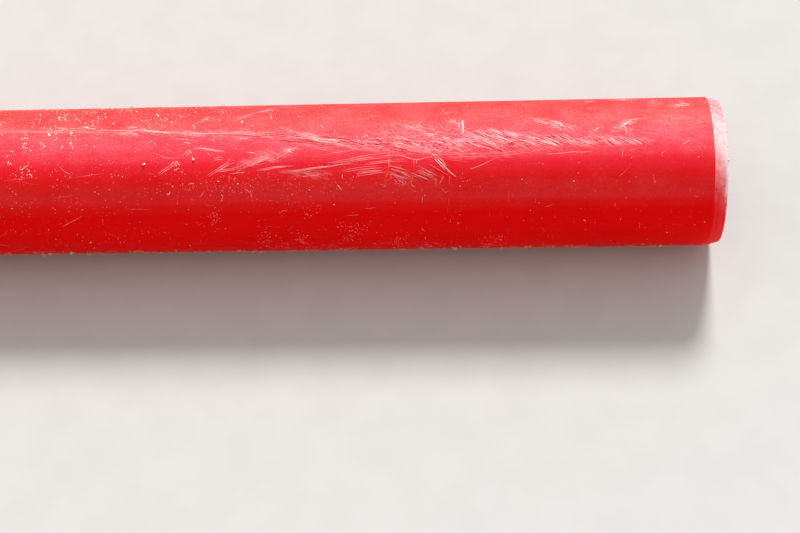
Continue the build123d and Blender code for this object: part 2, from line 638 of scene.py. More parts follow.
def middle_streaks(marks):
    """Where the streak comes down the pipe, and what runs beside it."""
    whole = [(345, 2), (326, 3.4), (308, 6), (290, 8.4), (270, 11), (254, 13.4)]
    upper = [(320, -3), (314, -1), (307, 1.6), (301, 3.6), (295, 4.9), (286, 8.5), (276, 11), (265, 14.3),
             (251, 16.9), (243, 18.8)]
    thin = [(316, 7.5), (308, 10), (299, 12.4), (290, 14.6), (279, 17.5), (271, 18.5), (266, 21)]
    curve = [(242, 6), (233, 7.5), (225, 10), (220, 14), (215, 16), (207, 19.9)]
    marks.lay(
        ([(340, 1), (326, 2.6), (317, 4.9), (305, 7.2), (296, 8.4)], 9, 4.2, 0.42, MIXED, 0.4, 0.45),
        ([(338, 5), (328, 6), (318, 7), (306, 8.4)], 6, 2.6, 0.42, DULL, 0.4, 0.3),
        (whole, 9, 6, 0.4, BRIGHT, 0.25), (whole, 22, 6, 0.34, SHADOW_THREADS, 0.08),
        (upper, 4, 2.2, 0.55, PALE, 0.6, 0.25),
        ([(303, 3.4), (294, 6.4), (286, 8.6), (280, 9.8), (271, 11)], 9, 3.4, 0.6, BRIGHT, 0.3, 0.9),
        ([(290, 4.9), (279, 6.8), (266, 9.1), (259, 10.4)], 5, 2.6, 0.5, MIXED, 0.5, 0.5),
        ([(294, 5.6), (282, 8), (268, 10), (252, 13)], 14, 4.4, 0.34, SHADOW_THREADS, 0.1),
        ((267, 9), (258, 10.5), 9, (4, 1), 2.4, 0.6, BRIGHT, 0.7),
    )
    for knot, angle, count in ((302, 5, 4), (291, 7.4, 7), (279, 9.2, 9), (263, 9.6, 8), (251, 10.6, 8)):
        ends = (knot + 2.6, angle - 0.8), (knot - 2.6, angle + 0.8)
        marks.hatch(*ends, count, (5, 1.3), 2.4, 0.5, WOVEN, 0.5)
    marks.lay(
        (thin, 2, 1.6, 0.5, PALE, 0.8),
        ([(302, 17.2), (295, 15.6), (288, 14.4), (278, 14)], 1, 0.2, 0.55, PALE, 0.95),
        ([(289, 20.5), (280, 18.6), (270, 17.2), (260, 14)], 0.55, PALE),
        ([(260, 14.6), (254, 15.6), (247, 17.6), (240, 19.3)], 3, 2.2, 0.5, PALE, 0.6),
        ((262, 9.5), (246, 11.5), 40, (7, 1.3), 6, 0.38, WOVEN, 0.9),
        ((259, 4.5), (256, 5.5), 5, (2, 1.5), 1.6, 0.5, BRIGHT, 0.4),
        ((248, 6), (240, 8.5), 10, (4, 1.2), 2.6, 0.6, MIXED, 0.7), (curve, 2, 0.8, 0.7, BRIGHT, 0.9, 0.3),
        (curve, 10, 9, 0.4, MIXED, 0.2, 0.4),
        ((230, -4.6), (223, -0.6), 9, (4, 1.9), 2.4, 0.5, BRIGHT, 0.55),
        ((220, -1.6), (215.6, 2.4), 10, (2.2, 1.6), 3, 0.5, BRIGHT, 0.7),
        ((217, 3.4), (206, 6.8), 14, (6, 0.9), 3, 0.5, BRIGHT, 0.7),
        ([(228, -3), (221, 0), (215, 3), (206, 7)], 7, 3.6, 0.32, SHADOW_THREADS, 0.2),
        ([(219.4, -6), (218.9, -2), (218.4, 1.6)], 4, 1.6, 0.55, BRIGHT, 0.5, 0.4),
        ([(212, -3.4), (211, -2.4), (210.4, -1)], 2, 0.8, 0.7, BRIGHT, 0.8),
        ([(208, 7), (200, 8.5), (195, 10), (191, 12.7), (185, 16.3),
         (181, 18.2)], 4, 2.2, 0.55, BRIGHT, 0.5, 0.5),
        ([(201, 8.4), (194, 9.4), (187, 9.8), (179, 10.7), (174, 11.4)], 5, 2.6, 0.5, BRIGHT, 0.5, 0.5),
        ([(240, -7), (237.5, -4), (234, -3)], 3, 1.2, 0.6, MIXED, 0.7, 0.3),
        ([(236, 14), (228, 15.4), (221, 17)], 3, 2, 0.5, MIXED, 0.6),
    )


def web(marks):
    """The web of fine crossing strokes between the streaks."""
    marks.lay(
        ((244, 13), (206, 16), 72, (8, 1.6), 11, 0.38, (0.1, 0.42, 0.18, 0.1, 0.2), 0.75),
        ((243, 9), (212, 13), 14, (0.6, 6), 7, 0.4, DULL),
        ((248, 4), (190, 9), 100, (2.4, 1.3), 22, 0.4, WOVEN),
        ((246, 6), (186, 11), 70, (2, -1.5), 18, 0.4, WOVEN),
    )
    for start, end, reach in (((246, 4), (196, 7), 15), ((190, 8), (112, 11), 9)):
        marks.rub((start, end), reach, 0.42)
    marks.lay(
        ((215, 11), (188, 15), 36, (6, -3.6), 11, 0.36, MIXED, 0.7),
        ((206, 10), (188, 15), 34, (7, 3.8), 11, 0.36, WOVEN),
        ((204, 1), (190, 5), 16, (5, -3), 7, 0.42, DULL, 0.25),
        ((206, 7), (188, 7), 10, (1, 6), 4, 0.4, DULL),
        ([(201, 19.8), (196, 18.2), (192, 16.4)], 3, 1, 0.6, MIXED, 0.6),
        ([(206, 20), (196, 20.5), (186, 21), (172, 22)], 5, 2.4, 0.45, DULL, 0.3),
        ([(204, 23), (195, 24.5), (187, 25.5), (178, 28)], 5, 3, 0.36, DULL, 0.4),
    )


def slanting_band(marks):
    """The dense band of slanting strokes that runs out towards the bevel."""
    marks.lay(
        ((186, 7), (160, 13), 104, (8, 3.6), 13, 0.36, WOVEN, 0.85),
        ((186, 2), (168, 3), 12, (8, 3.4), 5, 0.42, DULL, 0.3),
        ((168, 1.5), (159, 5.5), 9, (9, 4.2), 3.2, 0.5, BRIGHT, 0.7),
        ((161, 8), (139, 13), 92, (7.5, 3.6), 11, 0.36, WOVEN, 0.85),
        ((155, 4.5), (148, 7), 7, (7, 3.8), 3, 0.5, BRIGHT, 0.6),
        ((142, 9), (118, 12.5), 84, (7, 3.6), 8.5, 0.36, WOVEN, 0.85),
        ((141, 8), (121, 14), 10, (10, 4.4), 4, 0.5, BRIGHT),
        ((122, 10.5), (98, 12.5), 62, (6, 3.6), 6.5, 0.36, WOVEN, 0.8),
        ((100, 12), (70, 13), 66, (5, 3.8), 5.5, 0.36, WOVEN, 0.8),
        ((104, 13), (97, 14), 6, (6, 2.6), 2.4, 0.5, BRIGHT),
        ((73, 12.5), (55, 14), 9, (8, 5.5), 3.4, 0.5, MIXED, 0.3),
    )
    for path in (
        [(172, 12), (164, 15.5), (156, 19.2)], [(178, 10.5), (169, 13.5), (160, 17)],
        [(114, 8), (105, 14), (97, 14.8)], [(112, 12), (107, 16.5), (103, 20.5)],
        [(97, 10), (94, 13), (91, 16)], [(71, 11.4), (66, 14.5), (60, 17.2)],
        [(61, 10.5), (57, 13.5), (53, 17)], [(131, 8), (125, 11), (119, 14)],
    ):
        marks.bundle(path, 2, 2.2, 0.5, PALE, 0.75)
    marks.lay(
        ([(196, 21.5), (180, 22.5), (160, 22), (140, 19.5), (126, 18)], 9, 2.6, 0.42, DULL, 0.2, 0.3),
        ([(129, 22), (120, 22), (110, 20.8), (102, 21), (90, 20)], 2, 0.6, 0.5, DULL, 0.8),
        ((128, 17.5), (112, 18), 9, (7, -1.6), 3, 0.45, DULL),
        ([(75, 19), (71, 18)], 2, 0.6, 0.5, DULL, 0.8),
        ([(70, 20), (66, 19.6), (63, 18)], 2, 0.8, 0.5, DULL, 0.8),
    )


def fans(marks):
    """Strokes that spread like fans, and the pairs that run beside them."""
    for path in (
        [(373, 35.5), (367, 31.6), (361, 28.3), (355, 25), (350, 23)],
        [(367, 31.2), (364, 31), (354, 29.6), (350, 29)], [(365, 30.3), (359, 26.4), (355, 23.8)],
        [(367, 21.8), (363, 21), (359, 21.2)], [(408, 33), (401, 28.6), (396, 25.3), (390, 23.4)],
        [(346, 28.3), (341, 27), (336, 25.7), (330, 25.4), (325, 26.4)],
        [(275, 33), (262, 30.5), (244, 29)], [(265, 33.5), (255, 33.2), (245, 33)],
        [(264, 36), (250, 34), (241, 33)], [(320, 14), (317, 14.6), (314, 15.4)],
    ):
        marks.bundle(path, 2, 1.9, 0.5, PALE, 0.75)
    marks.lay(
        ([(183, 33), (174, 29.6), (169, 27), (165, 26)], 0.5, PALE, 0.97),
        ((359, 24.5), (355, 22.5), 5, (2, -2), 2, 0.5, MIXED),
        ([(348, 28.6), (340, 24.4), (334, 21.2), (327, 19.2)], 12, 4.4, 0.42, DULL, 0.4, 0.6),
        ([(344, 27), (338, 24), (332, 21)], 3, 2.6, 0.45, MIXED, 0.6),
        ([(323, 22.5), (319, 19.2), (314, 16.6), (309, 15.4)], 6, 2.4, 0.5, MIXED, 0.5, 0.6),
        ((315.6, 16.6), (309.4, 15.2), 12, (3.4, -1.2), 2.6, 0.6, BRIGHT, 1),
        ([(345, 28), (338, 25.6), (330, 21.6), (322, 20)], 5, 2.6, 0.5, PALE, 0.5, 0.4),
        ([(356, 33.5), (350, 32.9), (342, 32.2)], 0.65, PALE),
        ([(354, 34.3), (346, 33.4)], 0.45, GROOVE_SHADOW, 0.9),
        ([(337, 31), (330, 30.3), (324, 29), (317, 28.6), (305, 28.3)], 3, 1.8, 0.5, PALE, 0.6),
        ([(322, 32.2), (307, 32.2), (300, 31.2), (294, 30.3), (282, 29), (272, 27.8),
         (258, 28.3)], 5, 2.8, 0.42, PALE, 0.5),
        ([(301, 31.2), (289, 29.3), (283, 28.9)], 2, 1, 0.55, BRIGHT, 0.8),
        ([(286, 27.7), (272, 25.4), (258, 22.8), (245, 21.5), (234, 21.2)], 4, 2.6, 0.42, PALE, 0.6),
        ([(290, 28.3), (276, 26.6), (258, 23.8)], 4, 2, 0.3, SHADOW_THREADS, 0.4),
        ([(322, 32.6), (300, 31.8), (284, 29.8), (262, 28.6)], 4, 2.6, 0.3, SHADOW_THREADS, 0.25),
        ([(345, 29), (336, 25), (324, 21)], 4, 2.8, 0.3, SHADOW_THREADS, 0.3),
        ([(245, 21.5), (234, 21.2), (230, 22.5), (226, 23.8), (220, 25), (214, 23.4),
         (207, 23)], 0.7, PALE, 0.97),
        ([(260, 27.7), (247, 26), (232, 25), (225, 25.4)], 2, 1.8, 0.5, PALE, 0.8),
        ((307, 34.6), (285, 35.4), 20, (5, 0.7), 3.6, 0.45, (0.02, 0.3, 0.5, 0.18, 0), 0.3),
    )


# The crossing cuts low on the front, as (station, angle) from head to foot
CUTS = (
    ((240.6, 29), (234, 31), (227, 33)), ((239.4, 31.6), (229, 35.5)), ((236, 31.6), (226, 37.5)),
    ((235, 34), (225, 37.5)), ((240, 35.5), (234, 37.4), (229, 38.7), (228, 41.3)),
    ((237.5, 37.4), (230, 40)), ((235, 39.4), (227.5, 44.6)), ((219.7, 29.6), (212, 34), (203.8, 38.7)),
    ((212.5, 28.3), (205, 33), (197.5, 38)), ((220, 32.9), (213, 36), (206, 39.4)), ((219, 35), (208, 39)),
    ((225, 34.8), (211, 41.3)), ((219, 36.8), (210, 42)), ((225, 36.4), (220, 38.4)),
    ((216, 31.6), (210, 36)),
)
SHORT_CUTS = (
    ((224, 37.4), (225, 44)), ((207, 39.4), (207.2, 45.9)), ((201.6, 38), (205, 43.9)),
    ((197.2, 38), (197.5, 44)), ((239.5, 36), (239, 39)), ((233, 40), (233, 43)),
    ((231, 40.5), (230.5, 43.5)), ((229, 41), (228.6, 44)), ((225, 43.3), (222, 46)),
    ((237, 40), (235.8, 41.6)), ((203, 47), (200.5, 50), (197, 48)),
)
# Scratches that run straight round the pipe: station, top and foot
CROSS_SCRATCHES = (
    (240.4, 14.6, 34.2, PALE), (234, 14.6, 20.5, PALE), (222.5, 24.4, 30.5, PALE), (220.6, 25, 29.5, WHITE),
    (230, 1, 14.6, PALE), (74, 18.6, 27.6, DULL), (70.6, 1.6, 10, PALE), (280, -1, 4, PALE),
    (273, 4, 7.5, PALE), (157.5, -1, 7.5, PALE), (166, -4, 0, PALE), (274, 35.5, 39, DULL),
    (285, 35, 42, DULL), (268, 38, 41, DULL), (264, 37, 39, DULL), (155, 50, 60, DULL),
    (363, 4.5, 8, WHITE), (356, 35, 42, DULL),
)


def crossing_cuts(marks):
    """The crossing cuts low on the front, one of them deep, with painted shadow beside them."""
    for cut in CUTS:
        marks.stroke(cut, 0.46, PALE)
        # Beside each cut, a dark strip of painted shadow
        marks.stroke([(station + 0.1, angle + 1.1) for station, angle in cut], 0.44, GASH_SHADOW, 0.85)
    for cut in SHORT_CUTS:
        marks.stroke(cut, 0.45, PALE, 0.9)
    for station, top, foot, tone in CROSS_SCRATCHES:
        marks.stroke([(station, top), (station + 0.4, (top + foot) / 2), (station, foot)], 0.6, tone)
    marks.lay(
        ([(241.4, 34.2), (243, 38), (245.3, 43.3)], 0.5, PALE, 0.9),
        ((236, 41), (226, 44), 9, (1.2, 1.6), 3, 0.45, DULL),
        ((237, 33), (229, 39), 12, (6, 3), 7, 0.32, (0, 0.4, 0.2, 0.2, 0.2), 0.22),
        ((218, 33), (208, 38), 12, (6.5, 3.4), 6, 0.32, (0, 0.4, 0.2, 0.2, 0.2), 0.22),
    )

    # The deep one: torn white edges with painted shadow between
    gouge = [(207, 23.8), (204.5, 26.4), (202, 29), (197.5, 34.2), (193.8, 37.4), (190.6, 40.4)]
    marks.lay(
        (gouge, 2, 0.7, 0.6, WHITE, 0.85),
        ([(205, 23.6), (202.5, 26), (200.5, 28.6), (198, 32)], 0.6, WHITE, 0.9),
        ([(station + 1.5, angle + 0.7) for station, angle in gouge[:4]], 0.6, WHITE),
    )
    for shift in (0.75, 2.1):
        marks.stroke([(station + shift, angle + 0.4) for station, angle in gouge[:4]], 0.55, GASH_SHADOW, 0.9)
    for rung in range(9):
        station, angle = 206.6 - 0.95 * rung, 24 + 1.02 * rung
        tone = GASH_SHADOW if rung % 2 else WHITE
        rib = [(station + 1.2, angle - 0.6), (station, angle), (station - 0.7, angle + 1.2)]
        marks.stroke(rib, 0.6, tone)

    # The mark that crosses the top
    marks.lay(
        ([(190.6, -7), (189.6, -3), (188.6, 1), (188, 5)], 4, 1.1, 0.6, BRIGHT, 0.7, 0.8),
        ([(187.7, -9), (187.4, -3), (187.6, 3), (187.5, 9.8)], 3, 1, 0.75, WHITE, 0.8, 0.9),
    )


def separate_marks(marks):
    """Marks that stand apart from the rest."""
    marks.lay(
        ([(357, -13), (351, -16), (345, -21), (337, -26), (328, -31)], 4, 0.8, 0.36, MIXED, 0.45, 0.2),
        ([(337, -26.5), (328, -31)], 2, 0.7, 0.5, BRIGHT, 0.6, 0.3),
        ([(329, -21), (327.5, -15), (326, -11)], 2, 0.6, 0.55, BRIGHT, 0.7),
    )
    for path in (
        [(376, -20), (372, -13), (369, -18)], [(375, -19), (372, -17), (370, -12)],
        [(383, -21), (379, -17), (375, -13)], [(312, -20), (307, -15), (301, -9)],
        [(309, -7.5), (304, -8.4), (302, -7)], [(316, -3), (312, -6)], [(296.5, -9), (295.6, -6)],
        [(266, -11), (257, -14), (250, -16), (242, -15)], [(361, 50), (363, 55)], [(341, 46), (340, 52)],
        [(386, 41), (382, 40), (384, 45)], [(278, 43), (275, 47)], [(47.5, 24.3), (45.6, 22.4), (42, 20.4)],
        [(37, 13.6), (33, 14.2)], [(32, 16.6), (26, 13)], [(80, 24), (78, 22)], [(352, 36), (353, 40)],
        [(345, 45), (341, 48)], [(372, 17), (369, 21)], [(375, 47), (378, 51)],
    ):
        marks.stroke(path, 0.5, MIXED, 0.9)
    marks.lay(
        ([(290.5, -7), (289.2, -3)], 2, 0.5, 0.6, BRIGHT, 0.8),
        ((314.5, 3.6), (313, 3.7), 2, (4, 0.2), 0.6, 0.6, BRIGHT),
        ((196, -10), (193, -8), 5, (1.5, 2.5), 1.4, 0.65, BRIGHT, 0.6),
        ((198.4, -7.6), (195.4, -6.4), 4, (2, 1), 1, 0.6, MIXED, 0.4),
        ([(137, -8), (131, -6.5), (127, -4.9), (122, -4.2), (118, -3.2)], 6, 2, 0.65, MIXED, 0.5, 1),
        ((122, -1.5), (108, 1.4), 20, (4, 2.6), 3.6, 0.5, BRIGHT, 0.7),
        ((121, -0.5), (109, 0.5), 6, (4, 2.6), 3.6, 0.42, GROOVE_SHADOW),
        ([(118, -5.5), (116.8, -2), (115.6, 1)], 2, 0.5, 0.7, BRIGHT, 0.8),
        ([(78, 2.9), (73, -1), (70.6, -2.9), (67, -5.5), (62, -6.2)], 6, 2, 0.6, MIXED, 0.4, 1),
        ((75, 0.5), (71.5, -2), 5, (3, -2.4), 1.6, 0.7, BRIGHT, 0.6),
        ([(71.6, 0), (70.8, 4), (70.6, 9)], 3, 1, 0.5, BRIGHT, 0.6, 0.5),
        ([(95, 4.2), (91, 1.6), (90, -0.3)], 3, 0.9, 0.65, BRIGHT, 0.5, 0.4),
        ((33, -23.5), (27, -25.5), 18, (1.6, -2.8), 4, 0.6, BRIGHT, 1),
    )
    for path in (
        [(29, -33), (30, -26)], [(27, -33), (28.5, -26)],
        [(26, -24.6), (24.8, -22.4)], [(11.8, -30), (11.3, -25)],
    ):
        marks.bundle(path, 2, 0.6, 0.5, MIXED, 0.8, rub=0.2)
    for station in (27.6, 25.4, 23.6, 22, 20.5, 18.6, 16.4, 15):
        marks.bundle([(station, 17.8), (station - 0.9, 20.6)], 1, 0.2, 0.5, DULL, 0.9)
    for smear, reach, strength in (
        ([(82, -41), (68, -40)], 4, 1), ([(65, -39), (60, -40)], 3.5, 0.5),
        ([(114, -41), (112, -38)], 3.6, 0.9), ([(95, -38), (94, -33)], 3.2, 0.5),
        ([(50, -34), (48, -24)], 4, 0.6), ([(95, -23), (92, -22)], 3.5, 0.4),
        ([(12, -31), (11.5, -26)], 3.4, 0.5), ([(202, -21), (200, -19)], 3.4, 0.4),
        ([(356, -41), (350, -36)], 3.2, 0.4), ([(320, -42), (318, -36)], 3.4, 0.4),
        ([(470, -34), (464, -30)], 4, 0.4), ([(51, -34), (47, -29)], 5, 0.9),
        ([(37, -7), (30, -8), (21, -3)], 3.4, 0.3), ([(46, -6), (34, 3), (20, 7)], 13, 0.13),
        ([(56, -14), (44, -14)], 7, 0.16), ([(14, 4), (11, -6)], 6, 0.16), ([(60, 4), (52, 6)], 8, 0.16),
    ):
        marks.rub(smear, reach, strength)


def chance_marks(marks):
    """Light chance scratches, round the back and underside and towards the hidden end."""
    rng = marks.rng
    for _ in range(LONG_SCRATCHES):
        station = rng.uniform(12, LENGTH - 5)
        angle = rng.uniform(-170, 170)
        slant = math.radians(rng.gauss(0, 14) if rng.random() < 0.7 else rng.uniform(-80, 80))
        size = rng.uniform(2.5, 24)
        in_view = station < VIEW_REACH and VIEW_ANGLES[0] < angle < VIEW_ANGLES[1]
        if in_view and size > 9:
            continue
        start = laid_flat(station, angle)
        run = Vector((-math.cos(slant), math.sin(slant))) * size
        bend = Vector((0, rng.gauss(0, 0.4)))
        if station + run.x > BEVEL + 1 and abs(angle) + degrees(size) < 170:
            path = [start, start + run / 4 + bend / 2, start + run / 2 + bend]
            path += [start + run * 0.75 + bend / 2, start + run]
            marks.line(path, 0.25 if in_view else 0.4, DULL)

    # Faint curls over the top
    for _ in range(CURLS):
        spot = laid_flat(rng.uniform(180, 400), rng.uniform(-44, -8))
        marks.curl(spot, 1, (1, 6), 5, 0.42, DULL)

    # Little nicks: some run round the pipe low on the front, and some lie thick above them
    for _ in range(NICKS):
        start = laid_flat(rng.uniform(14, 540), rng.uniform(40, 122))
        fall = Vector((rng.gauss(0, 0.3), rng.uniform(1, 6)))
        marks.line([start, start + fall / 2, start + fall], 0.26, DULL)
    for station, angle, spread, count in (
        (348, 43, 18, 170), (400, 38, 14, 60), (290, 42, 12, 40), (235, 44, 12, 40), (245, 42, 90, 110),
        (163, 100, 3, 22), (333, 92, 3, 26), (368, 70, 2, 30), (308, 94, 3, 30), (272, 90, 4, 34),
        (300, 64, 4, 20), (236, 96, 3, 30), (286, 104, 4, 24), (322, 104, 4, 24), (253, 104, 5, 22),
        (222, 104, 3, 16), (270, 78, 8, 30),
    ):
        for _ in range(count):
            start = laid_flat(max(rng.gauss(station, spread), 14), min(rng.gauss(angle, 5.5), 120))
            run = pointing(rng.uniform(0, math.tau)) * rng.uniform(0.4, 1.3)
            tone = PALE if angle > 60 else DULL
            marks.line([start, start + run / 2, start + run], rng.uniform(0.28, 0.5), tone)

    # Knots of pale threads near the underside
    for station, angle, count in (
        (213, 107, 16), (171, 106, 20), (158, 113, 9), (125, 114, 9), (101, 115, 8), (75, 113, 6),
        (236, 112, 8), (186, 115, 8), (50, 116, 5), (140, 116, 6), (302, 110, 12), (272, 112, 12),
        (334, 104, 12), (20, 114, 5),
    ):
        for _ in range(count):
            spot = laid_flat(rng.gauss(station, 3), min(rng.gauss(angle, 4), 119))
            marks.curl(spot, 1.4, (0.8, 2.6), 4, 0.36, PALE)


def scratch_look(name, colour, other):
    """Whitened plastic for the pale tones and painted shadow for the groove and gash tones, brighter and
    duller along each scratch.
    """
    look = Look(name + "_plastic")
    share = look.ramp(look.noise(look.object_place(), 160, 3), 0.35, 0.65)
    return look.finish(look.mix(share, colour, other), 0.8, 0)


def scratches():
    """Lays the scratches, and gives back how far the skin is rubbed at each corner."""
    marks = Marks(MARKS_SEED)
    for lay_some in (
        far_streaks, middle_streaks, web, slanting_band, fans, crossing_cuts, separate_marks, chance_marks,
    ):
        lay_some(marks)
    for (name, _, colour, other), ridges in zip(TONES, marks.tones):
        new_piece(name, ridges.verts, ridges.faces, [scratch_look(name, colour, other)])
    return marks.rubbed


# The wall of the pipe

SKIN, BEVEL_CUT, SAWN, INSIDE = range(4)


def wall_rows():
    """The wall's section as (station, radius, part) rows, closed on itself.

    It runs from the bevel along the skin to the sawn end, back through the
    bore, and out over the lip."""
    rows = [(BEVEL + ROW_STEP * i, OUTER, SKIN) for i in range(ROWS)]
    rows.append((LENGTH - EDGE_BREAK, OUTER, SKIN))
    rows.append((LENGTH, OUTER - EDGE_BREAK, SAWN))
    for share in (0.65, 0.35):
        rows.append((LENGTH, BORE + (OUTER - BORE) * share, SAWN))
    rows.append((LENGTH, BORE + BORE_BREAK, SAWN))
    rows.append((LENGTH - BORE_BREAK, BORE, INSIDE))
    for i in range(BORE_ROWS - 1, 0, -1):
        rows.append((LENGTH * i / BORE_ROWS, BORE, INSIDE))
    rows.append((BORE_BREAK, BORE, INSIDE))
    rows.append((0, BORE + LIP_BREAK, SAWN))
    rows.append((0, skin_radius(0) - LIP_BREAK, BEVEL_CUT))
    rows.append((LIP_BREAK, skin_radius(0) - LIP_ROUNDING, BEVEL_CUT))
    for i in range(1, 2 * TOOL_RINGS):
        station = BEVEL * i / (2 * TOOL_RINGS)
        groove = RING_DEPTH if i % 2 else 0
        rows.append((station, skin_radius(station) - groove, BEVEL_CUT))
    return rows


def wear_and_sheen_at(station, angle, part):
    """How pale the wall is from scuffing, with painted sheen and highlight: the skin all along, and the
    bevel more and further round at its lip.
    """
    if part == SKIN:
        return profile(SKIN_WEAR_AND_SHEEN, angle)
    if part == BEVEL_CUT:
        out = 1 - station / BEVEL
        scraped = profile(BEVEL_WEAR_AND_SHEEN, max(angle - 12 * out, -180)) * (0.84 + 0.3 * out)
        return max(scraped, profile(LIP_WHITENING_AND_HIGHLIGHT, angle) * max(0, 1 - station / LIP_REACH) ** 0.6)
    return 0


def bake_strips(rows):
    """Where each row of the wall's section starts and ends on a flat picture of it.

    Two strips hold the halves of the skin, the near one with the bevel, one holds
    the bore, and two narrow ones hold the sawn faces."""
    half = LENGTH / 2
    strips = {
        "near skin": (0, 0.96, 0, 0.38),
        "far skin": (0, 0.96, 0.39, 0.77),
        "bore": (0, 0.96, 0.78, 1),
        "far face": (0.965, 0.98, 0, 1),
        "near face": (0.985, 1, 0, 1),
    }

    def strip_of(row):
        station, _, part = row
        if part == INSIDE:
            return "bore"
        if part == SAWN:
            return "far face" if station > half else "near face"
        return "far skin" if station + ROW_STEP / 2 > half else "near skin"

    def span(i):
        start, end = rows[i], rows[(i + 1) % len(rows)]
        stretch = 4 if start[2] == BEVEL_CUT else 1
        return math.hypot(end[0] - start[0], end[1] - start[1]) * stretch

    # The near skin starts with the lip, which comes last in the rows
    first_bevel = next(i for i, row in enumerate(rows) if row[2] == BEVEL_CUT)
    order = [*range(first_bevel, len(rows)), *range(first_bevel)]
    placed = {}
    for name, (left, right, bottom, top) in strips.items():
        members = [i for i in order if strip_of(rows[i]) == name]
        scale = (right - left) / sum(span(i) for i in members)
        run = 0
        for i in members:
            placed[i] = (left + run * scale, left + (run + span(i)) * scale, bottom, top)
            run += span(i)
    return placed


def wall(rubbed):
    """The pipe itself, turned finely, with an edge a little less true than a drawing."""
    rows = wall_rows()
    verts = []
    wear_and_sheen = []
    rub = []
    for i, (station, radius, part) in enumerate(rows):
        near_end = station < 1 or station > LENGTH - 1
        for side in range(SIDES):
            angle = 360 * side / SIDES - 180
            ragged = 0
            if near_end:
                spot = pointing(math.radians(angle)) * LIP_WAVES
                ragged = noise.noise(Vector((*spot, station * 0.01))) * LIP_WAVE
            verts.append(around(station + ragged, radius, angle))
            wear_and_sheen.append(wear_and_sheen_at(station, angle, part))
            rub.append(rubbed.get((i, side), 0) if part == SKIN else 0)
    strips = bake_strips(rows)
    faces = []
    parts = []
    skin_places = []
    bake_places = []
    for i, row in enumerate(rows):
        after = (i + 1) % len(rows)
        start, end, bottom, top = strips[i]
        for side in range(SIDES):
            beside = (side + 1) % SIDES
            here, there = i * SIDES, after * SIDES
            faces.append((here + side, there + side, there + beside, here + beside))
            parts.append(row[2])
            for station, along, column in (
                (row[0], start, side), (rows[after][0], end, side),
                (rows[after][0], end, side + 1), (row[0], start, side + 1),
            ):
                share = column / SIDES
                skin_places.extend((station * MM, (share - 0.5) * math.tau * OUTER * MM))
                bake_places.extend((along, bottom + (top - bottom) * share))
    piece = new_piece("pipe_wall", verts, faces, [skin_look(), bevel_look(), sawn_look(), bore_look()])
    mesh = piece.data
    mesh.polygons.foreach_set("material_index", parts)
    for name, values in (("Worn", wear_and_sheen), ("Rubbed", rub)):
        mesh.attributes.new(name, "FLOAT", "POINT").data.foreach_set("value", values)
    for name, places in (("Skin", skin_places), ("OFBake", bake_places)):
        mesh.uv_layers.new(name=name).data.foreach_set("uv", places)
    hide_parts("pipe")


# Sand and earth that cling to the wall

def grain_shape():
    """A twenty-sided ball: its corners and faces."""
    g = (1 + math.sqrt(5)) / 2
    corners = [(-1, g, 0), (1, g, 0), (-1, -g, 0), (1, -g, 0), (0, -1, g), (0, 1, g),
               (0, -1, -g), (0, 1, -g), (g, 0, -1), (g, 0, 1), (-g, 0, -1), (-g, 0, 1)]
    faces = [(0, 11, 5), (0, 5, 1), (0, 1, 7), (0, 7, 10), (0, 10, 11), (1, 5, 9), (5, 11, 4),
             (11, 10, 2), (10, 7, 6), (7, 1, 8), (3, 9, 4), (3, 4, 2), (3, 2, 6), (3, 6, 8),
             (3, 8, 9), (4, 9, 5), (2, 4, 11), (6, 2, 10), (8, 6, 7), (9, 8, 1)]
    return [Vector(c).normalized() for c in corners], faces


GRAIN_CORNERS, GRAIN_FACES = grain_shape()


class Crumbs:
    """Rough grains and clods that sit on the wall, gathered into one mesh."""

    def __init__(self, rng):
        self.rng = rng
        self.verts = []
        self.faces = []

    def add(self, station, angle, size, flat=0.6):
        """Sets one down: size is its width in mm, and flat its height over its width."""
        rng = self.rng
        lean = Matrix.Rotation(math.radians(-angle), 3, "X")
        turn = lean @ Matrix.Rotation(rng.uniform(0, math.tau), 3, "Z")
        long = rng.uniform(1, 1.9)
        middle = on_skin(station, angle, size * flat * 0.22)
        first = len(self.verts)
        for corner in GRAIN_CORNERS:
            rough = corner * rng.uniform(0.68, 1.18)
            place = middle + turn @ Vector((rough.x * long, rough.y, rough.z * flat)) * (size / 2 * MM)
            place.z = max(place.z, 0.00005)
            self.verts.append(place)
        self.faces.extend(tuple(first + k for k in face) for face in GRAIN_FACES)


def crumb_look(name, colours):
    """Dry sand or earth, each grain a little different."""
    look = Look(name + "_grains")
    place = look.object_place()
    colour = look.mix(look.ramp(look.noise(place, 420, 2), 0.38, 0.62), colours[0], colours[1])
    colour = look.mix(look.ramp(look.noise(place, 2600, 2), 0.45, 0.7), colour, colours[2])
    return look.finish(colour, 0.9)


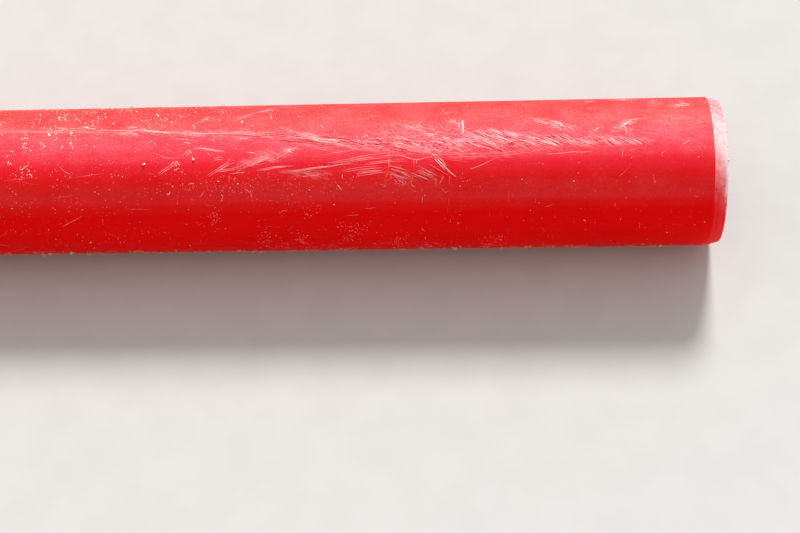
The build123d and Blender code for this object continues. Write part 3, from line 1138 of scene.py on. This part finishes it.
def sand_and_earth():
    """Sand on the upper side, thickest far from the bevel, and earth along the underside."""
    rng = random.Random(DIRT_SEED)
    sand = Crumbs(rng)
    earth = Crumbs(rng)
    smears = Ridges()

    def smear(station, angle, size, width):
        slant = rng.uniform(0, math.tau)
        curl = rng.gauss(0, 1.2)
        path = []
        for t in (0, 0.25, 0.5, 0.75, 1):
            path.append(laid_flat(station, angle) + pointing(slant + curl * t) * size * t)
        smears.add(path, width, rng.uniform(0.08, 0.2))

    # Single grains that the eye picks out
    for station, angle, size in (
        (349, -11, 2), (382, 22, 2.2), (418, 25, 2.4), (490, -1, 2.4), (474, -2, 1.8), (474, -4, 1.2),
        (473, 7, 1.8), (444, -12, 2), (109, 43, 1.1), (190, 45.5, 1.2), (281, 58, 1.5), (487, -10, 1.4),
        (479, 10, 1.5), (364, 39, 1.3), (350, 41, 1.2), (101, 75, 1.1), (192, 76, 0.8), (41, 90, 0.8),
        (430, -30, 1.8), (458, -38, 2.2),
    ):
        sand.add(station, angle, size)

    # Scattered grains and curled smears, thickest towards the hidden end
    for _ in range(GRAINS):
        station = LENGTH * rng.random()
        angle = max(-160, min(160, rng.gauss(-6, 44)))
        thick = 0.1 + 0.9 * min(1, max(0, (station - 230) / 260))
        if angle > 20 and station < VIEW_REACH:
            thick *= 0.25
        if rng.random() > thick or station < BEVEL + 1:
            continue
        if rng.random() < 0.3:
            smear(station, angle, rng.uniform(0.4, 1.3), rng.uniform(0.3, 0.5))
        else:
            sand.add(station, angle, min(1.3, 0.25 + rng.expovariate(5.2)), 0.45)
    for _ in range(SMEAR_PATCHES):
        station = rng.uniform(365, LENGTH - 12)
        angle = rng.gauss(-12, 22)
        for _ in range(rng.randint(3, 12)):
            spot = rng.gauss(station, 2), rng.gauss(angle, 2.2)
            smear(*spot, 0.6 + rng.expovariate(1.1), rng.uniform(0.4, 0.9))
    for station, angle, run, fall, width in (
        (414.5, -26, -3, 6, 1.5), (407, -19, -3, 3.4, 0.9), (396.5, -23, -1.6, 4.4, 0.9),
        (487.5, -25, -1.5, 6.6, 1.1), (486, -19, -2, 2, 1), (483, -22, -3, 5.4, 1.2),
        (478, -30, -10, 18, 0.6), (466, -14, -2, 1, 1.1), (474.5, -3.2, -0.6, 2.8, 1.6),
        (479.4, 9.4, -0.5, 2.8, 1.1), (473.6, 6.4, -2.6, 6, 0.8), (420.5, -6, -1, 2.4, 0.7),
        (418, -8.6, -1.6, 3, 0.7), (458, -23, -2, 3.6, 0.8), (455, -18.6, -3, -0.6, 0.8),
        (452, -23, -1.4, 3.4, 0.8), (491, -10, -1, 3, 0.6), (493, -16, -1.4, 1, 1.2),
        (395, 23, -3, 3.4, 0.7), (390, 7.6, -5, 1.6, 0.6),
    ):
        start = laid_flat(station, angle)
        reach = Vector((run, math.radians(fall) * OUTER))
        path = [start + reach * t + Vector((rng.gauss(0, 0.25), 0)) for t in (0, 0.25, 0.5, 0.75, 1)]
        smears.add(path, width, 0.2)
    for _ in range(FRONT_GRAINS):
        sand.add(rng.uniform(12, 420), rng.uniform(20, 118), min(0.8, 0.18 + rng.expovariate(8.5)), 0.4)
    for station, angle in (
        (163, 100), (333, 92), (368, 70), (308, 90), (272, 88), (203, 100), (298, 62), (240, 105),
    ):
        for _ in range(7):
            sand.add(rng.gauss(station, 2.5), rng.gauss(angle, 5), min(0.8, 0.2 + rng.expovariate(7)), 0.4)

    # Dust and grains that settled along the top of the far part
    for _ in range(SETTLED_GRAINS):
        station = LENGTH - 6 - rng.random() ** 0.8 * (LENGTH - 330)
        size = min(1.5, 0.3 + rng.expovariate(3.6))
        sand.add(station, max(rng.gauss(-50, 7), -80), size, 0.45)

    # Earth that clings along the underside
    for _ in range(CLODS):
        side = rng.choice((-1, 1))
        angle = side * min(168, 110 + abs(rng.gauss(0, 24)))
        station = rng.uniform(BEVEL + 1, LENGTH - 1)
        patch = noise.noise(Vector((station * 0.03, angle * 0.05, 3)))
        if patch < -0.2:
            continue
        earth.add(station, angle, min(3.6, 0.45 + rng.expovariate(1.7)), rng.uniform(0.25, 0.45))

    grain_look = crumb_look("sand", (SAND, linear(240, 226, 204), linear(176, 148, 112)))
    new_piece("sand_grains", sand.verts, sand.faces, [grain_look], smooth=False)
    smear_look = crumb_look("smear", (linear(250, 206, 192), linear(248, 182, 172), linear(226, 190, 158)))
    new_piece("sand_smears", smears.verts, smears.faces, [smear_look])
    clod_look = crumb_look("earth", (EARTH, linear(196, 158, 118), linear(120, 88, 60)))
    new_piece("earth_crumbs", earth.verts, earth.faces, [clod_look], smooth=False)


# Shreds that the saw left on the lip

def burrs():
    """Thin curled shreds of plastic that stand off the lip."""
    rng = random.Random(BURR_SEED)
    verts = []
    faces = []
    steps = 6

    def shred(angle, length, width, lean, curl):
        first = len(verts)
        root = skin_radius(0) - rng.uniform(0.05, 0.4)
        for i in range(steps):
            t = i / (steps - 1)
            out = length * math.sin(curl * t) / curl
            rise = lean * length * t + length * (1 - math.cos(curl * t)) / curl * 0.4
            half = width / 2 * (1 - t) ** 0.7 + 0.02
            sway = lean * length * t * 0.6
            for offset, lift in ((-half, 0), (0, half), (half, 0)):
                verts.append(around(LIP_BREAK - out, root + rise + lift, angle + degrees(offset + sway)))
        faces.extend(prism_faces(first, steps))

    for angle, length, width in (
        (-6, 0.9, 0.8), (5, 1.7, 1.6), (6.4, 0.9, 1.2), (18, 1.4, 1.2), (28.6, 2.9, 1.5), (29.6, 1.6, 1.6),
        (38, 1.1, 1), (40.6, 0.9, 1.2), (43.4, 1, 1), (51, 0.8, 0.8), (55.5, 1.2, 1), (57.4, 0.9, 0.8),
    ):
        shred(angle, length, width, rng.uniform(-0.1, 0.2), 0.9)
    for _ in range(SHREDS):
        length = 0.1 + min(0.9, rng.expovariate(5))
        angle, width = rng.uniform(-180, 180), rng.uniform(0.15, 0.4)
        shred(angle, length, width, rng.gauss(0.1, 0.25), rng.uniform(0.3, 1.6))
    for _ in range(FRONT_SHREDS):
        angle, length = rng.gauss(45, 7), 0.2 + min(0.6, rng.expovariate(4.5))
        shred(angle, length, 0.35, rng.gauss(0.3, 0.3), rng.uniform(0.3, 1.6))

    look = Look("burr_plastic")
    share = look.ramp(look.noise(look.object_place(), 700, 2), 0.35, 0.65)
    colour = look.mix(share, linear(255, 234, 230), linear(252, 186, 186))
    new_piece("lip_burrs", verts, faces, [look.finish(colour, 0.55)])


# The studio

FOCAL_PIXELS = 1490
FRAME_PIXELS = 800
SENSOR = 36
CAMERA_PLACE = Vector((0.3259, -0.6804, 0.9470))
CAMERA_AIM = Vector((0.2621, -0.0449, 0))
CAMERA_ROLL = -5.49
LAMP_ELEVATION = 44.8
LAMP_AZIMUTH = 78
LAMP_SPREAD = 14.3
LAMP_STRENGTH = 3.6
SURROUND_STRENGTH = 0.67
FLOOR_REACH = 14
FLOOR_TONES = (linear(197, 196, 193), linear(200, 199, 196))


def camera():
    """Looks down on the pipe at 56 degrees, with the bevelled end on the right."""
    data = bpy.data.cameras.new("camera")
    data.sensor_width = SENSOR
    data.lens = FOCAL_PIXELS / FRAME_PIXELS * SENSOR
    seer = bpy.data.objects.new("camera", data)
    bpy.context.scene.collection.objects.link(seer)
    forward = CAMERA_AIM - CAMERA_PLACE
    level = forward.to_track_quat("-Z", "Y").to_matrix().to_4x4()
    roll = Matrix.Rotation(math.radians(CAMERA_ROLL), 4, "Z")
    seer.matrix_world = Matrix.Translation(CAMERA_PLACE) @ level @ roll
    bpy.context.scene.camera = seer


def lamp():
    """A soft distant lamp behind the pipe. Its azimuth runs from +X towards +Y."""
    up = math.radians(LAMP_ELEVATION)
    turn = math.radians(LAMP_AZIMUTH)
    away = Vector((math.cos(up) * math.cos(turn), math.cos(up) * math.sin(turn), math.sin(up)))
    data = bpy.data.lights.new("key", "SUN")
    data.angle = math.radians(LAMP_SPREAD)
    data.energy = LAMP_STRENGTH
    made = bpy.data.objects.new("key", data)
    bpy.context.scene.collection.objects.link(made)
    made.location = away * 2
    made.rotation_mode = "QUATERNION"
    made.rotation_quaternion = (-away).to_track_quat("-Z", "Y")


def studio():
    """A pale floor and an even white surround."""
    floor_mesh = bpy.data.meshes.new("floor")
    corners = [(x * FLOOR_REACH, y * FLOOR_REACH, 0) for x, y in ((-1, -1), (1, -1), (1, 1), (-1, 1))]
    floor_mesh.from_pydata(corners, [], [(0, 1, 2, 3)])
    floor = bpy.data.objects.new("floor", floor_mesh)
    bpy.context.scene.collection.objects.link(floor)
    look = Look("floor_paint")
    mottle = look.ramp(look.noise(look.object_place(), 30, 4), 0.3, 0.7)
    floor_mesh.materials.append(look.finish(look.mix(mottle, *FLOOR_TONES), 0.9, 0))

    world = bpy.data.worlds.new("surround")
    bpy.context.scene.world = world
    world.use_nodes = True
    background = world.node_tree.nodes["Background"]
    background.inputs["Color"].default_value = (1, 1, 1, 1)
    background.inputs["Strength"].default_value = SURROUND_STRENGTH
    bpy.context.scene.view_settings.view_transform = "Standard"


wall(scratches())
sand_and_earth()
burrs()
camera()
lamp()
studio()
